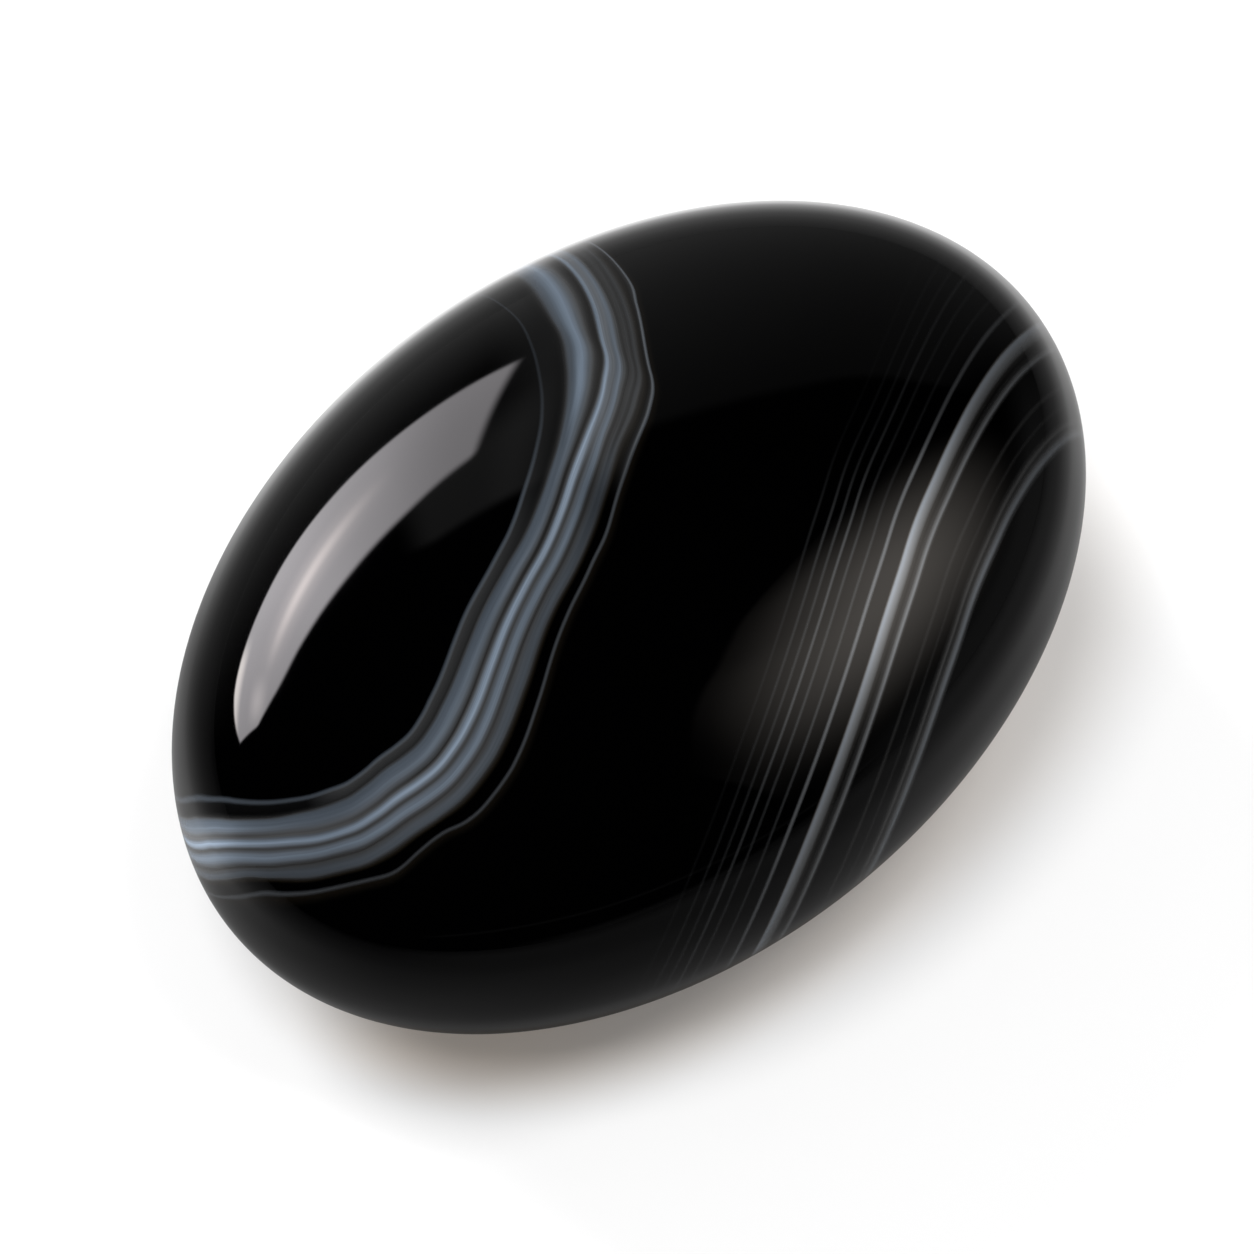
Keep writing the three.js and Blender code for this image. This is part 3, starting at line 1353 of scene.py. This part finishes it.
@dataclass(frozen=True)
class BackWall:
    """The dim panel behind the stone and the faint light beside it, which the polish mirrors.

    Attributes:
        top: the height of the panel's upper edge, against the bearing, in degrees.
        level: how bright the panel is, against the bearing.
        top_edge: where it fades in below its upper edge.
        rise: the heights between which it sets in.
        patches: the fainter patches.
        rail_height: the height of a thin pale rail on the near side, against the bearing.
        rail_reach: how far the rail reaches above and below that.
        rail_sides: where it starts and ends.
    """

    top: Line = (
        (48, 24), (52, 28), (57, 32), (62, 34.5), (67, 37), (72, 39.7), (77, 41.6), (82, 43), (87, 44),
        (92, 45), (101, 46.6), (113, 46.3), (120, 44),
    )
    level: Line = (
        (48, 0), (52, 0.022), (57, 0.05), (62, 0.062), (72, 0.075), (82, 0.105), (92, 0.14), (100, 0.17),
        (103, 0.1), (107, 0), (120, 0),
    )
    top_edge: Range = (0.5, -1.5)
    rise: Range = (76.0, -8.0)
    patches: tuple[DimPatch, ...] = (
        DimPatch(0.12, ((0.0, 97.0, 103.0), (0.0, 119.0, 113.0)), (28.0, 38.0), under_top=True),
        DimPatch(0.18, ((0.0, 100.0, 106.0), (0.0, 162.0, 112.0)), (22.0, 0.0), fade=Fade.STRAIGHT),
        DimPatch(0.085, ((0.0, -30.0, 0.0), (0.0, 60.0, 22.0)), (20.0, 6.0)),
        DimPatch(0.05, ((0.0, -85.0, -60.0), (0.0, 0.0, -40.0)), (4.0, 0.5)),
    )
    rail_height: Line = (
        (-110, 8.5), (-105, 9.7), (-90, 13), (-76, 14), (-62, 13), (-49, 11.5), (-40, 9.9), (-27, 7.3),
        (-10, 3.5),
    )
    rail_reach: float = 1.3
    rail_level: float = 0.028
    rail_sides: tuple[Side, ...] = ((0.0, -108.0, -96.0), (0.0, -12.0, -20.0))

    def paint(self, maker: NodeMaker, bearing: Socket, height: Socket) -> Socket:
        """Paints the panel, the patches and the rail.

        Args:
            maker: the surround's node maker.
            bearing: the bearing that is looked at.
            height: its height above the table.

        Returns:
            Their colour.
        """
        below_top = maker.smooth(maker.difference(height, maker.curve(bearing, self.top)), *self.top_edge)
        level = maker.product(below_top, maker.curve(bearing, self.level), maker.smooth(height, *self.rise))
        for patch in self.patches:
            light = maker.product(
                patch.level,
                maker.sides(bearing, height, patch.sides),
                maker.step(height, *patch.rise, patch.fade),
            )
            if patch.under_top:
                light = maker.product(light, below_top)
            level = maker.math("ADD", level, light)
        above_rail = maker.difference(height, maker.curve(bearing, self.rail_height))
        rail = maker.product(
            self.rail_level,
            maker.line(above_rail, self.rail_reach),
            maker.sides(bearing, height, self.rail_sides),
        )
        return maker.tint((1.0, 1.0, 1.0), maker.math("ADD", level, rail))


@dataclass(frozen=True)
class SoftLamp:
    """A round soft lamp that lights the table and the stone.

    Attributes:
        name: what it is called in the scene.
        bearing: its direction round the stone, in degrees, as toward takes it.
        elevation: its height above the table, in degrees.
        spread: half the angle that it fills, in degrees.
        brightness: its radiance.
    """

    name: str
    bearing: float
    elevation: float
    spread: float
    brightness: float

    DISTANCE = 3.0

    def hang(self) -> None:
        """Adds the lamp, which the stone doesn't mirror."""
        direction = toward(self.bearing, self.elevation)
        radius = self.DISTANCE * math.tan(math.radians(self.spread))
        data = bpy.data.lights.new(self.name, "AREA")
        data.shape = "DISK"
        data.size = 2.0 * radius
        data.energy = self.brightness * math.pi * math.pi * radius**2
        piece = bpy.data.objects.new(self.name, data)
        bpy.context.scene.collection.objects.link(piece)
        piece.location = direction * self.DISTANCE
        piece.rotation_euler = direction.to_track_quat("Z", "Y").to_euler()
        piece.visible_glossy = False
        piece.visible_camera = False


@dataclass(frozen=True)
class Studio:
    """The camera, the soft lamps and what the polish mirrors.

    Attributes:
        middle: height of the stone's middle plane above the table, in metres.
        elevation: the camera's height above the table, in degrees.
        distance: from the camera to what it looks at, in metres.
        focal_length: the lens, in millimetres on a frame of frame_width millimetres.
        nearest: the nearest distance that the camera sees, in metres.
        aim: what the camera looks at, as steps right and up in the picture from the stone's middle.
        ambient: the even light from all round.
        panels: what the polish mirrors besides the table.
    """

    middle: float
    elevation: float = 53.0
    distance: float = 320.0 * MM
    focal_length: float = 203.14
    frame_width: float = 36.0
    nearest: float = 10.0 * MM
    aim: Point = (-0.391 * MM, -1.185 * MM)
    ambient: Colour = (0.225, 0.225, 0.225)
    lamps: tuple[SoftLamp, ...] = (
        SoftLamp("back_left_lamp", 134.0, 27.4, 14.7, 13.1),
        SoftLamp("overhead_lamp", 221.0, 70.3, 14.9, 8.1),
        SoftLamp("near_lamp", 270.6, 5.0, 23.3, 8.0),
        SoftLamp("right_lamp", 3.0, 63.9, 14.3, 6.7),
    )
    panels: tuple[Union[Window, Glow, BackWall], ...] = (Window(), Glow(), BackWall())

    def place_camera(self) -> None:
        """Adds the camera and makes it the scene's."""
        right, up, back = view_frame(self.elevation)
        target = Vector((0.0, 0.0, self.middle)) + right * self.aim[0] + up * self.aim[1]
        data = bpy.data.cameras.new("camera")
        data.lens = self.focal_length
        data.sensor_width = self.frame_width
        data.clip_start = self.nearest
        camera = bpy.data.objects.new("camera", data)
        bpy.context.scene.collection.objects.link(camera)
        camera.location = target + back * self.distance
        camera.rotation_euler = back.to_track_quat("Z", "Y").to_euler()
        bpy.context.scene.camera = camera

    def light(self) -> None:
        """Hangs the lamps, which give the soft shadow, and paints the panels, which the stone mirrors."""
        for lamp in self.lamps:
            lamp.hang()
        self._surround()

    def _surround(self) -> None:
        """Builds the surround: even light for the table, and dark walls with soft panels for the polish."""
        world = bpy.data.worlds.new("studio")
        bpy.context.scene.world = world
        world.use_nodes = True
        world.cycles.sampling_method = "NONE"
        world.node_tree.nodes.clear()
        maker = NodeMaker(world.node_tree)
        coordinate = maker.add("ShaderNodeTexCoord")
        bearing, upright = maker.bearing(coordinate.outputs["Generated"])
        height = maker.product(maker.math("ARCSINE", upright), TO_DEGREES)
        mirrored = maker.total(*(panel.paint(maker, bearing, height) for panel in self.panels))
        path = maker.add("ShaderNodeLightPath")
        background = maker.add("ShaderNodeBackground")
        colour = maker.blend(path.outputs["Is Glossy Ray"], (*self.ambient, 1.0), mirrored)
        maker.join(colour, background.inputs["Color"])
        maker.show(background.outputs["Background"], "ShaderNodeOutputWorld")


def main() -> None:
    """Builds the stone and the studio in order and reports each piece."""
    logging.basicConfig(level=logging.INFO, format="%(name)s: %(message)s")
    bpy.context.scene.view_settings.view_transform = "Standard"
    pebble = OnyxPebble()
    stone = pebble.build()
    stone.data.materials.append(PolishedOnyx(middle=pebble.middle).make())
    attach(stone, BODY)
    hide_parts(NODE)
    _, frame_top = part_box(NODE)
    top = max(vertex.co.z for vertex in stone.data.vertices)
    LOG.info("stone: %d faces, top %.6f, top in the frame %.6f", len(stone.data.polygons), top, frame_top.z)

    table = Table(half_plan=(pebble.length / 2, pebble.width / 2)).lay()
    LOG.info("stage: %s", table.name)
    studio = Studio(middle=pebble.middle)
    studio.place_camera()
    studio.light()
    LOG.info("studio: %d lamps, %d panels", len(studio.lamps), len(studio.panels))


if __name__ == "__main__":
    main()
